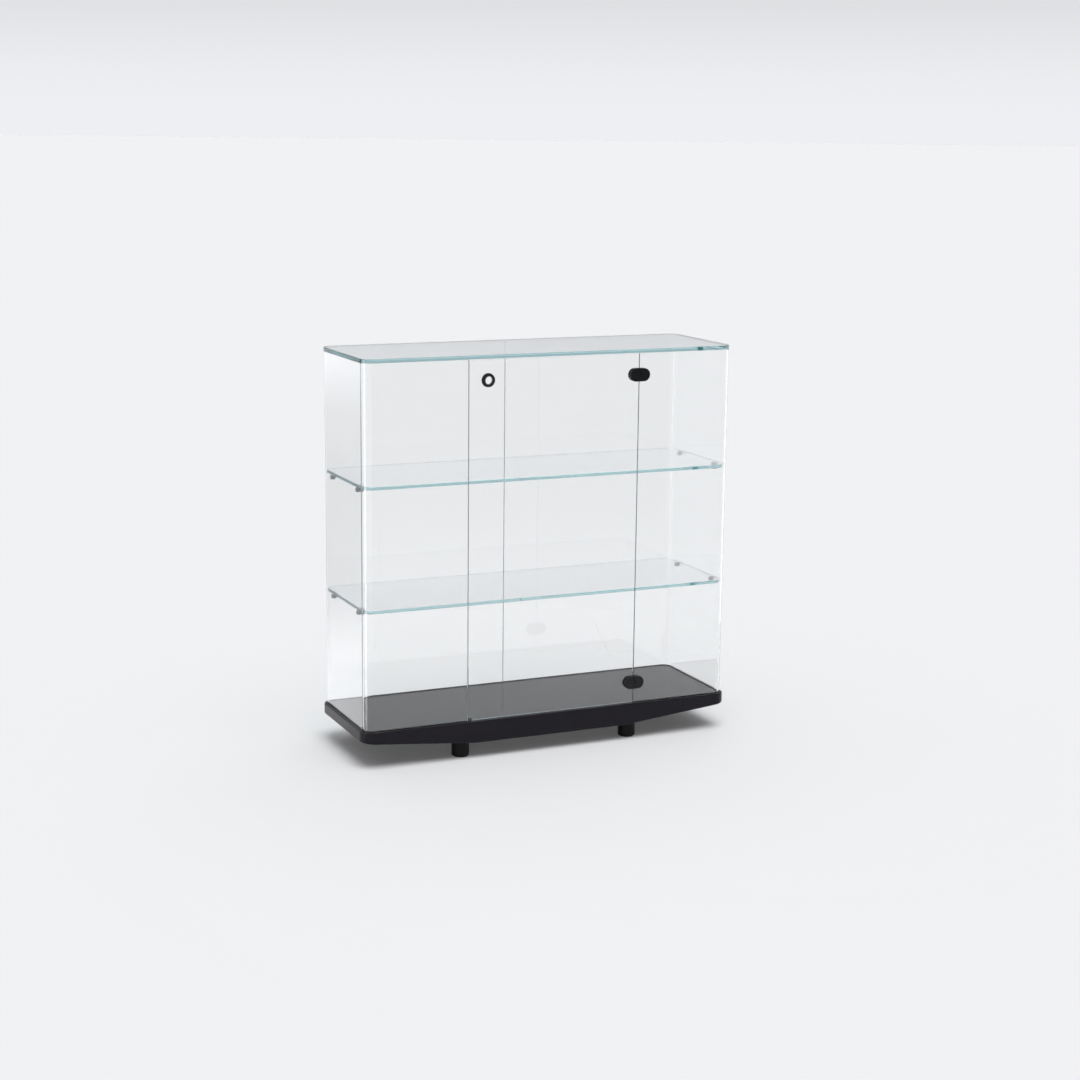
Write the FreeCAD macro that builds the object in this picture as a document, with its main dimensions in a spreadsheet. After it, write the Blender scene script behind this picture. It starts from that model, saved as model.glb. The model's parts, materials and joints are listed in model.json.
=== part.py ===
# Glass display showcase: a case of bent glass on a low moulded base, with two glass
# shelves and a glass door hinged on its right edge.
# Millimetres. X runs along the front, -Y is the front, +Z is up, and the origin is on
# the floor under the middle of the case.
import FreeCAD, Part
import Sketcher
import os
import re

doc = FreeCAD.newDocument("glass_showcase")
sizes = doc.addObject("Spreadsheet::Sheet", "Sizes")

DRIVING_SIZES = [
    ("glass_width", 1266.0, "case, outer faces of the side glass"),
    ("glass_depth", 402.0, "case, outer faces of the front and back glass"),
    ("case_height", 1166.0, "rim of the base to the upper face of the top glass"),
    ("corner_radius", 32.0, "bend in the side glass, outer face"),
    ("glass_wall", 6.0, "side glass and door"),
    ("seam_gap", 2.0, "joint between the two bent glasses at the back"),
    ("top_thickness", 12.0, "top glass"),
    ("top_overhang", 1.0, "top glass past the side glass"),
    ("bond_thickness", 1.0, "clear bond under the top glass"),
    ("bond_inset", 1.0, "bond back from each face of the side glass"),
    ("polished_edge", 0.8, "ground bevel on the horizontal glass"),
    ("shelf_thickness", 10.0, "shelf glass"),
    ("shelf_lower_rise", 386.0, "rim of the base to the upper face of the lower shelf"),
    ("shelf_upper_rise", 774.0, "rim of the base to the upper face of the upper shelf"),
    ("shelf_end_gap", 2.5, "shelf to side glass"),
    ("shelf_face_gap", 3.5, "shelf to front and back glass"),
    ("shelf_corner_radius", 30.0, "shelf corner"),
    ("rim_margin", 9.5, "base past the glass, all round"),
    ("rim_edge_radius", 4.5, "round along the top edge of the base"),
    ("hull_height", 71.0, "base, rim to its flat underside"),
    ("hull_end_height", 34.5, "base, height of its ends"),
    ("hull_flat_half", 262.0, "half the length of the flat underside"),
    ("hull_bottom_radius", 3.0, "round along the lower edge of the base"),
    ("floor_gap", 53.0, "floor to the flat underside"),
    ("groove_depth", 10.0, "groove for the glass, below the rim"),
    ("deck_thickness", 8.0, "deck panel"),
    ("deck_gap", 2.0, "shadow gap round the deck panel"),
    ("deck_edge", 0.6, "bevel on the deck panel"),
    ("gasket_outer_lip", 1.0, "gasket outside the glass"),
    ("gasket_inner_lip", 1.5, "gasket inside the glass"),
    ("gasket_base", 2.0, "gasket under the glass"),
    ("gasket_drop", 0.4, "gasket lips below the rim"),
    ("fit_clearance", 0.1, "between pieces that slip together"),
    ("cavity_half_depth", 115.0, "hollow in the base, half its depth"),
    ("cavity_end_margin", 60.0, "hollow in the base, back from the glass"),
    ("cavity_floor", 9.0, "base under its hollow"),
    ("rail_offset", 190.0, "deck rails from the middle"),
    ("rail_width", 30.0, "deck rail"),
    ("rail_wall", 2.5, "deck rail tube"),
    ("foot_radius", 28.3, "foot"),
    ("foot_offset_along", 297.0, "feet from the middle, along the front"),
    ("foot_offset_across", 155.0, "feet from the middle, front to back"),
    ("foot_edge_radius", 6.0, "round on the lower edge of a foot"),
    ("foot_seat_clearance", 0.7, "round the foot in its seat"),
    ("glide_radius", 19.8, "glide under a foot"),
    ("glide_thickness", 3.5, "glide under a foot"),
    ("glide_stand", 1.5, "glide below the foot"),
    ("bolt_radius", 5.0, "foot bolt"),
    ("bolt_head_radius", 8.0, "foot bolt head"),
    ("bolt_head_height", 10.0, "foot bolt head"),
    ("bolt_head_rise", 6.0, "floor to the bolt head"),
    ("insert_radius", 7.0, "threaded insert in the base"),
    ("insert_length", 20.0, "threaded insert in the base"),
    ("pin_radius", 7.0, "shelf pin"),
    ("pin_length", 14.0, "shelf pin"),
    ("pin_neck_radius", 5.6, "neck that holds the ring"),
    ("pin_neck_length", 3.0, "neck that holds the ring"),
    ("pin_ring_stand", 0.5, "ring past the pin"),
    ("pin_setback", 74.0, "shelf pin to the front and back glass"),
    ("door_hinge_edge", 297.0, "fixed glass beside the hinges, from the middle"),
    ("door_width", 584.0, "door glass"),
    ("door_gap", 2.0, "door to the fixed glass, each side"),
    ("door_foot_gap", 3.0, "door above the rim"),
    ("door_head_gap", 3.0, "door below the top glass"),
    ("door_corner_radius", 2.5, "door glass corner"),
    ("seal_thickness", 0.8, "clear seal on the fixed edge"),
    ("hinge_inset", 70.0, "hinge middle to the rim and to the top glass"),
    ("hinge_half_width", 35.0, "hinge, half its length"),
    ("hinge_half_height", 21.0, "hinge, half its height and the radius of its ends"),
    ("hinge_outer_plate", 8.0, "plate in front of the glass"),
    ("hinge_inner_plate", 7.0, "plate behind the glass"),
    ("hinge_pad", 0.5, "pad between a plate and the glass"),
    ("hinge_edge", 1.0, "bevel on a plate"),
    ("knuckle_radius", 2.5, "knuckle"),
    ("knuckle_half_length", 11.0, "half the door knuckle"),
    ("knuckle_end_gap", 0.4, "between knuckles"),
    ("knuckle_relief", 3.8, "plate back from the axis beside a knuckle"),
    ("inner_plate_gap", 0.6, "inner plate back from the axis"),
    ("hinge_pin_radius", 1.5, "hinge pin"),
    ("running_clearance", 0.05, "hinge pin in the door knuckle"),
    ("screw_offset_along", 19.0, "plate screw from the axis"),
    ("screw_offset_up", 10.0, "plate screw from the hinge middle"),
    ("screw_radius", 2.5, "plate screw"),
    ("screw_head_radius", 4.5, "plate screw head"),
    ("screw_head_height", 2.8, "plate screw head"),
    ("screw_grip", 5.5, "screw in the outer plate"),
    ("glass_hole_radius", 5.0, "hole in the glass for a plate screw"),
    ("pull_side_inset", 65.0, "finger pull to the free edge of the door"),
    ("pull_head_inset", 67.0, "finger pull to the top glass"),
    ("pull_radius", 22.0, "finger pull"),
    ("pull_bore_radius", 12.5, "finger pull"),
    ("pull_sleeve_radius", 14.5, "sleeve of the finger pull"),
    ("pull_flange", 2.6, "flange of the finger pull"),
    ("pull_washer", 0.5, "washer under each flange"),
    ("pull_hole_radius", 15.0, "hole in the door for the finger pull"),
    ("pull_edge", 0.9, "round on the finger pull"),
    ("stop_width", 12.0, "door stop"),
    ("stop_depth", 10.0, "door stop"),
    ("stop_height", 9.0, "door stop"),
    ("stop_inset", 3.0, "door stop from the free edge of the door"),
    ("bumper_radius", 3.2, "buffer on the door stop"),
    ("bumper_thickness", 1.2, "buffer on the door stop"),
    ("bumper_gap", 0.3, "buffer to the closed door"),
]

for row, (name, value, meaning) in enumerate(DRIVING_SIZES, start=1):
    sizes.set("A%d" % row, name)
    sizes.set("B%d" % row, str(value))
    sizes.set("C%d" % row, meaning)
    sizes.setAlias("B%d" % row, name)
doc.recompute()


def size(expression):
    """Write each driving size in an expression as a reference to the sheet."""
    names = {name for name, value, meaning in DRIVING_SIZES}
    return re.sub("[a-z_]+", lambda word: "Sizes." * (word[0] in names) + word[0], expression)


# Levels and faces that several pieces share.
RIM = "( floor_gap + hull_height )"
HALF_WIDTH = "( glass_width / 2 )"
HALF_DEPTH = "( glass_depth / 2 )"
INNER_HALF_WIDTH = "( glass_width / 2 - glass_wall )"
INNER_HALF_DEPTH = "( glass_depth / 2 - glass_wall )"
TOP_UNDERSIDE = "( floor_gap + hull_height + case_height - top_thickness )"
GROOVE_FLOOR = "( floor_gap + hull_height - groove_depth )"
GLASS_FOOT = "( floor_gap + hull_height - groove_depth + gasket_base )"
SHELL_TOP = "( floor_gap + hull_height + case_height - top_thickness - bond_thickness )"
DECK_UNDERSIDE = "( floor_gap + hull_height - deck_thickness )"
GROOVE_OUTSET = "( gasket_outer_lip + fit_clearance )"
GROOVE_INSET = "( glass_wall + gasket_inner_lip + fit_clearance )"
HULL_HALF_LENGTH = "( glass_width / 2 + rim_margin )"
HULL_TAPER = ("( ( hull_height - hull_end_height ) "
              "/ ( glass_width / 2 + rim_margin - hull_flat_half ) )")
FOOT_SEAT = ("( floor_gap + 0.5 + max( 0 ; foot_offset_along + foot_radius - hull_flat_half ) * "
             + HULL_TAPER + " )")
DOOR_FREE_EDGE = "( door_hinge_edge - door_gap - door_width )"
FIXED_FREE_EDGE = "( door_hinge_edge - 2 * door_gap - door_width )"
HINGE_AXIS = "( door_hinge_edge - door_gap / 2 )"
OUTER_PLATE_FACE = "( glass_depth / 2 + hinge_pad + hinge_outer_plate )"
HINGE_AXIS_DEPTH = "( glass_depth / 2 + hinge_pad + hinge_outer_plate - knuckle_radius )"
HINGE_LEVELS = {
    "top": "( floor_gap + hull_height + case_height - top_thickness - hinge_inset )",
    "bottom": "( floor_gap + hull_height + hinge_inset )",
}
PULL_CENTRE = "( door_hinge_edge - door_gap - door_width + pull_side_inset )"
PULL_LEVEL = "( floor_gap + hull_height + case_height - top_thickness - pull_head_inset )"


def number(expression):
    """The present value of an expression, in millimetres."""
    result = probe.evalExpression(size(expression))
    return float(getattr(result, "Value", result))


probe = doc.addObject("Part::Box", "probe")


def bind(item, **targets):
    """Bind properties to expressions; a double underscore in a name stands for a dot."""
    for target, expression in targets.items():
        item.setExpression(target.replace("__", "."), size(expression))
    return item


def place(item, x="0", y="0", z="0"):
    return bind(item, Placement__Base__x=x, Placement__Base__y=y, Placement__Base__z=z)


# ---- sketches -------------------------------------------------------------------------

def new_sketch(body, name, role, offset="0"):
    """A sketch on one of the body's own origin planes, moved along the plane's normal."""
    sketch = body.newObject("Sketcher::SketchObject", name)
    support = [plane for plane in body.Origin.OriginFeatures if plane.Role == role][0]
    sketch.AttachmentSupport = [(support, "")]
    sketch.MapMode = "FlatFace"
    return bind(sketch, AttachmentOffset__Base__z=offset)


def dimension(sketch, kind, place_in_sketch, expression):
    """Add a driving dimension and bind it to its expression."""
    value = number(expression)
    index = sketch.addConstraint(Sketcher.Constraint(kind, *place_in_sketch, value))
    sketch.setExpression("Constraints[%d]" % index, size(expression))


def draw_polygon(sketch, corners):
    """A closed polygon whose corners are pairs of expressions."""
    points = [FreeCAD.Vector(number(x), number(y), 0) for x, y in corners]
    lines = []
    for start, end in zip(points, points[1:] + points[:1]):
        lines.append(sketch.addGeometry(Part.LineSegment(start, end)))
    for line, following in zip(lines, lines[1:] + lines[:1]):
        sketch.addConstraint(Sketcher.Constraint("Coincident", line, 2, following, 1))
    for line, (x, y) in zip(lines, corners):
        dimension(sketch, "DistanceX", (line, 1), x)
        dimension(sketch, "DistanceY", (line, 1), y)


def draw_rectangle(sketch, left, low, right, high):
    draw_polygon(sketch, [(left, low), (right, low), (right, high), (left, high)])


def draw_circle(sketch, x, y, radius):
    centre = FreeCAD.Vector(number(x), number(y), 0)
    ring = Part.Circle(centre, FreeCAD.Vector(0, 0, 1), number(radius))
    circle = sketch.addGeometry(ring)
    dimension(sketch, "DistanceX", (circle, 3), x)
    dimension(sketch, "DistanceY", (circle, 3), y)
    dimension(sketch, "Radius", (circle,), radius)


def draw_rounded(sketch, width, depth, radius, across="0", middle="0"):
    """A rectangle with round corners, centred on x = across and y = middle."""
    half_w, half_d, r = number(width) / 2, number(depth) / 2, number(radius)
    mid_x, mid_y = number(across), number(middle)
    quarter = 1.5707963267948966
    normal = FreeCAD.Vector(0, 0, 1)
    arcs = []
    lines = []
    corners = [(1, -1, -1), (1, 1, 0), (-1, 1, 1), (-1, -1, 2)]
    for side_x, side_y, turn in corners:
        centre = FreeCAD.Vector(mid_x + side_x * (half_w - r), mid_y + side_y * (half_d - r), 0)
        circle = Part.Circle(centre, normal, r)
        arc = Part.ArcOfCircle(circle, turn * quarter, (turn + 1) * quarter)
        arcs.append(sketch.addGeometry(arc))
    for index, arc in enumerate(arcs):
        following = arcs[(index + 1) % 4]
        start = sketch.getPoint(arc, 2)
        end = sketch.getPoint(following, 1)
        line = sketch.addGeometry(Part.LineSegment(start, end))
        lines.append(line)
        sketch.addConstraint(Sketcher.Constraint("Tangent", arc, 2, line, 1))
        sketch.addConstraint(Sketcher.Constraint("Tangent", line, 2, following, 1))
    for line, direction in zip(lines, ("Vertical", "Horizontal", "Vertical", "Horizontal")):
        sketch.addConstraint(Sketcher.Constraint(direction, line))
    for arc in arcs[1:]:
        sketch.addConstraint(Sketcher.Constraint("Equal", arcs[0], arc))
    dimension(sketch, "Radius", (arcs[0],), radius)
    dimension(sketch, "DistanceX", (lines[0], 1), across + " + ( " + width + " ) / 2")
    dimension(sketch, "DistanceX", (lines[2], 1), across + " - ( " + width + " ) / 2")
    dimension(sketch, "DistanceY", (lines[1], 1), middle + " + ( " + depth + " ) / 2")
    dimension(sketch, "DistanceY", (lines[3], 1), middle + " - ( " + depth + " ) / 2")


# ---- part design features -------------------------------------------------------------

def new_body(label):
    body = doc.addObject("PartDesign::Body", label)
    body.Label = label
    doc.recompute()
    return body


def pad(body, sketch, length, symmetric=False):
    feature = body.newObject("PartDesign::Pad", sketch.Name + "_pad")
    feature.Profile = sketch
    if symmetric:
        feature.SideType = "Symmetric"
    bind(feature, Length=length)
    doc.recompute()
    return feature


def pocket(body, sketch, length, reverse=False, symmetric=False):
    """Cut with a sketch and make sure that something was cut."""
    before = body.Shape.Volume
    feature = body.newObject("PartDesign::Pocket", sketch.Name + "_pocket")
    feature.Profile = sketch
    feature.Reversed = reverse
    if symmetric:
        feature.SideType = "Symmetric"
    bind(feature, Length=length)
    doc.recompute()
    if not body.Shape.Volume < before - 1e-3:
        raise ValueError(sketch.Name + " cut nothing")
    return feature


def edge_names(shape, wanted):
    """Names of the edges of a shape for which wanted(edge) is true."""
    return ["Edge%d" % (index + 1) for index, edge in enumerate(shape.Edges) if wanted(edge)]


def dress(body, kind, base, wanted, amount):
    """Fillet or chamfer the wanted edges of a feature."""
    feature = body.newObject("PartDesign::" + kind, base.Name + "_" + kind.lower())
    feature.Base = (base, edge_names(base.Shape, wanted))
    if kind == "Fillet":
        bind(feature, Radius=amount)
    else:
        bind(feature, Size=amount)
    doc.recompute()
    return feature


def flat_at(level):
    """True for an edge that lies wholly at a height."""
    def wanted(edge):
        box = edge.BoundBox
        return abs(box.ZMin - level) < 1e-4 and abs(box.ZMax - level) < 1e-4
    return wanted


# ---- primitives -----------------------------------------------------------------------

X_AXIS = FreeCAD.Rotation(FreeCAD.Vector(0, 1, 0), 90)
Y_AXIS = FreeCAD.Rotation(FreeCAD.Vector(1, 0, 0), -90)


def new_box(name, low, high):
    """A box between two corners given as expressions."""
    box = doc.addObject("Part::Box", name)
    bind(box, Length="( %s ) - ( %s )" % (high[0], low[0]))
    bind(box, Width="( %s ) - ( %s )" % (high[1], low[1]))
    bind(box, Height="( %s ) - ( %s )" % (high[2], low[2]))
    return place(box, *low)


def new_cylinder(name, radius, length, at, turn=None):
    """A cylinder along Z, or along X or Y where turned, that starts at a point."""
    cylinder = doc.addObject("Part::Cylinder", name)
    if turn is not None:
        cylinder.Placement = FreeCAD.Placement(FreeCAD.Vector(), turn)
    bind(cylinder, Radius=radius, Height=length)
    return place(cylinder, *at)


def fuse(name, items):
    joined = doc.addObject("Part::MultiFuse", name)
    joined.Shapes = items
    joined.Refine = True
    return joined


def common(name, items):
    shared = doc.addObject("Part::MultiCommon", name)
    shared.Shapes = items
    return shared


def cut(name, base, tool):
    rest = doc.addObject("Part::Cut", name)
    rest.Base = base
    rest.Tool = tool
    return rest


def group(name, items):
    gathered = doc.addObject("Part::Compound", name)
    gathered.Links = items
    return gathered


def soften(name, base, kind, wanted, amount):
    """Fillet or chamfer the wanted edges of a primitive or boolean."""
    doc.recompute()
    feature = doc.addObject("Part::" + kind, name)
    feature.Base = base
    reach = number(amount)
    feature.Edges = [(int(edge[4:]), reach, reach) for edge in edge_names(base.Shape, wanted)]
    doc.recompute()
    return feature


sub_parts = []


def keep(item, label):
    """Name a finished sub-part."""
    item.Label = label
    sub_parts.append(item)
    return item


# ---- base -----------------------------------------------------------------------------

def hull_outline(lift, half_length, upper):
    """Side view of the base: flat in the middle and rising straight to each end."""
    floor_level = "( floor_gap + %s )" % lift
    end_level = "( %s + ( %s - hull_flat_half ) * %s )" % (floor_level, half_length, HULL_TAPER)
    right = [("hull_flat_half", floor_level), (half_length, end_level), (half_length, upper)]
    left = [("0 - " + x, level) for x, level in reversed(right)]
    return right + left


def make_base_hull():
    body = new_body("base_hull")
    side = new_sketch(body, "hull_side", "XZ_Plane")
    draw_polygon(side, hull_outline("0", HULL_HALF_LENGTH, RIM))
    block = pad(body, side, "glass_depth + 2 * rim_margin", symmetric=True)

    def is_corner(edge):
        box = edge.BoundBox
        return box.XLength < 1e-4 and box.YLength < 1e-4
    block = dress(body, "Fillet", block, is_corner, "corner_radius + rim_margin")
    block = dress(body, "Fillet", block, flat_at(number(RIM)), "rim_edge_radius")

    half_length = number(HULL_HALF_LENGTH)
    half_depth = number("glass_depth / 2 + rim_margin")
    end_level = number("floor_gap + hull_height - hull_end_height")

    def is_lower_edge(edge):
        box = edge.BoundBox
        on_face = max(abs(box.YMin), abs(box.YMax)) > half_depth - 1e-3 and box.YLength < 1e-3
        on_end = max(abs(box.XMin), abs(box.XMax)) > half_length - 1e-3 and box.XLength < 1e-3
        on_bend = box.XLength > 1 and box.YLength > 1
        return box.ZMax < end_level + 5 and (on_face or on_end or on_bend)
    block = dress(body, "Fillet", block, is_lower_edge, "hull_bottom_radius")

    recess = new_sketch(body, "glass_recess", "XY_Plane", RIM)
    draw_rounded(recess, "glass_width + 2 * " + GROOVE_OUTSET, "glass_depth + 2 * " + GROOVE_OUTSET,
                 "corner_radius + " + GROOVE_OUTSET)
    pocket(body, recess, "deck_thickness")
    groove = new_sketch(body, "glass_groove", "XY_Plane", RIM)
    draw_rounded(groove, "glass_width + 2 * " + GROOVE_OUTSET, "glass_depth + 2 * " + GROOVE_OUTSET,
                 "corner_radius + " + GROOVE_OUTSET)
    draw_rounded(groove, "glass_width - 2 * " + GROOVE_INSET, "glass_depth - 2 * " + GROOVE_INSET,
                 "corner_radius - " + GROOVE_INSET)
    pocket(body, groove, "groove_depth")
    sill = new_sketch(body, "door_sill", "XY_Plane", GROOVE_FLOOR)
    draw_rectangle(sill, FIXED_FREE_EDGE + " + fit_clearance",
                   "0 - %s - %s - 1" % (HALF_DEPTH, GROOVE_OUTSET),
                   "door_hinge_edge - fit_clearance", "%s - %s" % (GROOVE_INSET, HALF_DEPTH))
    pad(body, sill, "groove_depth")

    hollow = new_sketch(body, "base_hollow", "XZ_Plane")
    draw_polygon(hollow, hull_outline("cavity_floor", "( %s - cavity_end_margin )" % HALF_WIDTH,
                                      "( %s + 1 )" % DECK_UNDERSIDE))
    pocket(body, hollow, "2 * cavity_half_depth", symmetric=True)

    seats = new_sketch(body, "foot_seats", "XY_Plane", FOOT_SEAT)
    bores = new_sketch(body, "insert_bores", "XY_Plane", FOOT_SEAT)
    for x, y in FOOT_PLACES.values():
        draw_circle(seats, x, y, "foot_radius + foot_seat_clearance")
        draw_circle(bores, x, y, "insert_radius")
    pocket(body, seats, "%s - floor_gap + 5" % FOOT_SEAT)
    pocket(body, bores, "insert_length", reverse=True)
    keep(body, "base_hull")


def make_deck():
    body = new_body("deck_panel")
    outline = new_sketch(body, "deck_outline", "XY_Plane", DECK_UNDERSIDE)
    edge = "( %s + deck_gap - gasket_inner_lip )" % GROOVE_INSET
    draw_rounded(outline, "glass_width - 2 * " + edge, "glass_depth - 2 * " + edge,
                 "corner_radius - " + edge)
    block = pad(body, outline, "deck_thickness")
    dress(body, "Chamfer", block, flat_at(number(RIM)), "deck_edge")
    keep(body, "deck_panel")
    for name, side in (("left", -1), ("right", 1)):
        x = "%d * rail_offset" % side
        half, inner = "rail_width / 2", "( rail_width / 2 - rail_wall )"
        low, high = "( floor_gap + cavity_floor )", DECK_UNDERSIDE
        outer = new_box("rail_outer_" + name,
                        (x + " - " + half, "0 - cavity_half_depth + fit_clearance", low),
                        (x + " + " + half, "cavity_half_depth - fit_clearance", high))
        bore = new_box("rail_bore_" + name,
                       (x + " - " + inner, "0 - cavity_half_depth - 1", low + " + rail_wall"),
                       (x + " + " + inner, "cavity_half_depth + 1", high + " - rail_wall"))
        keep(cut("rail_" + name, outer, bore), "deck_rail_" + name)


FOOT_PLACES = {
    "front_left": ("0 - foot_offset_along", "0 - foot_offset_across"),
    "front_right": ("foot_offset_along", "0 - foot_offset_across"),
    "rear_left": ("0 - foot_offset_along", "foot_offset_across"),
    "rear_right": ("foot_offset_along", "foot_offset_across"),
}


def make_feet():
    glides, bolts, inserts = [], [], []
    for name, (x, y) in FOOT_PLACES.items():
        body = new_body("foot_" + name)
        outline = new_sketch(body, "foot_outline_" + name, "XY_Plane", "glide_stand")
        draw_circle(outline, x, y, "foot_radius")
        block = pad(body, outline, "%s - glide_stand" % FOOT_SEAT)
        dress(body, "Fillet", block, flat_at(number("glide_stand")), "foot_edge_radius")
        recess = new_sketch(body, "glide_recess_" + name, "XY_Plane", "glide_stand")
        draw_circle(recess, x, y, "glide_radius + fit_clearance")
        pocket(body, recess, "glide_thickness - glide_stand", reverse=True)
        counterbore = new_sketch(body, "bolt_counterbore_" + name, "XY_Plane", "glide_thickness")
        draw_circle(counterbore, x, y, "bolt_head_radius + 1")
        pocket(body, counterbore, "bolt_head_rise + bolt_head_height - glide_thickness", reverse=True)
        through = new_sketch(body, "bolt_hole_" + name, "XY_Plane", "glide_thickness")
        draw_circle(through, x, y, "bolt_radius + fit_clearance")
        pocket(body, through, "%s" % FOOT_SEAT, reverse=True)
        keep(body, "foot_" + name)

        glides.append(new_cylinder("glide_" + name, "glide_radius", "glide_thickness", (x, y, "0")))
        head = new_cylinder("bolt_head_" + name, "bolt_head_radius", "bolt_head_height",
                            (x, y, "bolt_head_rise"))
        shank_foot = "( bolt_head_rise + bolt_head_height )"
        shank = new_cylinder("bolt_shank_" + name, "bolt_radius",
                             "%s + insert_length - 2 - %s" % (FOOT_SEAT, shank_foot),
                             (x, y, shank_foot))
        bolts.append(fuse("bolt_" + name, [head, shank]))
        sleeve = new_cylinder("insert_sleeve_" + name, "insert_radius", "insert_length",
                              (x, y, FOOT_SEAT))
        thread = new_cylinder("insert_thread_" + name, "bolt_radius + running_clearance",
                              "insert_length + 2", (x, y, FOOT_SEAT + " - 1"))
        inserts.append(cut("insert_" + name, sleeve, thread))
    keep(group("glides", glides), "foot_glides")
    keep(group("bolts", bolts), "foot_bolts")
    keep(group("inserts", inserts), "foot_inserts")


# ---- case -----------------------------------------------------------------------------

def ring_half(label, side, outset, inset, foot, rise):
    """Half of a ring that follows the case glass: side 1 is right and -1 is left. It runs
    from the back seam round the end to the door."""
    body = new_body(label)
    outer = new_sketch(body, label + "_outer", "XY_Plane", foot)
    draw_rounded(outer, "glass_width + 2 * " + outset, "glass_depth + 2 * " + outset,
                 "corner_radius + " + outset)
    pad(body, outer, rise)
    inner = new_sketch(body, label + "_inner", "XY_Plane", foot)
    draw_rounded(inner, "glass_width - 2 * " + inset, "glass_depth - 2 * " + inset,
                 "corner_radius - " + inset)
    pocket(body, inner, rise, reverse=True)
    half = new_sketch(body, label + "_half", "XY_Plane", foot)
    front = new_sketch(body, label + "_front", "XY_Plane", foot)
    past = "( %s + %s + 5 )" % (HALF_WIDTH, outset)
    near = "( 0 - %s - %s - 5 )" % (HALF_DEPTH, outset)
    if side > 0:
        draw_rectangle(half, "0 - " + past, near, "seam_gap / 2", "0 - " + near)
        draw_rectangle(front, "0", near, "door_hinge_edge", "0")
    else:
        draw_rectangle(half, "0 - seam_gap / 2", near, past, "0 - " + near)
        draw_rectangle(front, FIXED_FREE_EDGE, near, "0", "0")
    pocket(body, half, rise, reverse=True)
    pocket(body, front, rise, reverse=True)
    return body


def drill_front(body, name, holes):
    """Holes through the front glass, each given as x, level and radius."""
    sketch = new_sketch(body, name, "XZ_Plane", HALF_DEPTH + " + 1")
    for x, level, radius in holes:
        draw_circle(sketch, x, level, radius)
    pocket(body, sketch, "glass_wall + 2")


def screw_places(side):
    """Plate screws on one side of the hinge axis: x, level."""
    x = "( %s + %d * screw_offset_along )" % (HINGE_AXIS, side)
    places = []
    for level in HINGE_LEVELS.values():
        for up in (-1, 1):
            places.append((x, "( %s + %d * screw_offset_up )" % (level, up)))
    return places


def make_case():
    for name, side in (("left", -1), ("right", 1)):
        shell = ring_half("glass_shell_" + name, side, "0", "glass_wall", GLASS_FOOT,
                          "%s - %s" % (SHELL_TOP, GLASS_FOOT))
        if side > 0:
            drill_front(shell, "hinge_holes_fixed",
                        [(x, level, "glass_hole_radius") for x, level in screw_places(1)])
        keep(shell, "glass_shell_" + name)

        gasket = ring_half("base_gasket_" + name, side, "gasket_outer_lip",
                           "( glass_wall + gasket_inner_lip )", GROOVE_FLOOR,
                           "groove_depth - gasket_drop")
        slot = new_sketch(gasket, "gasket_slot_" + name, "XY_Plane", GLASS_FOOT)
        draw_rounded(slot, "glass_width", "glass_depth", "corner_radius")
        draw_rounded(slot, "glass_width - 2 * glass_wall", "glass_depth - 2 * glass_wall",
                     "corner_radius - glass_wall")
        pocket(gasket, slot, "groove_depth", reverse=True)
        keep(gasket, "base_gasket_" + name)

        bond = ring_half("top_bond_" + name, side, "( 0 - bond_inset )",
                         "( glass_wall - bond_inset )", SHELL_TOP, "bond_thickness")
        keep(bond, "top_bond_" + name)

    seam = new_box("seam", ("fit_clearance - seam_gap / 2", INNER_HALF_DEPTH + " + 0.5", GLASS_FOOT),
                   ("seam_gap / 2 - fit_clearance", HALF_DEPTH + " - 0.5", SHELL_TOP))
    keep(seam, "back_seam_seal")
    seal = new_box("edge_seal", (FIXED_FREE_EDGE, "0 - %s + 1" % HALF_DEPTH, RIM + " + 1"),
                   (FIXED_FREE_EDGE + " + seal_thickness", "0 - %s - 1" % INNER_HALF_DEPTH, SHELL_TOP))
    keep(seal, "door_edge_seal")


def make_sheet(label, width, depth, radius, foot, thickness):
    """A flat glass with round corners and ground edges."""
    body = new_body(label)
    outline = new_sketch(body, label + "_outline", "XY_Plane", foot)
    draw_rounded(outline, width, depth, radius)
    block = pad(body, outline, thickness)
    upper = flat_at(number(foot + " + " + thickness))
    lower = flat_at(number(foot))
    dress(body, "Chamfer", block, lambda edge: upper(edge) or lower(edge), "polished_edge")
    keep(body, label)


SHELF_RISES = {"upper": "shelf_upper_rise", "lower": "shelf_lower_rise"}


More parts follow.
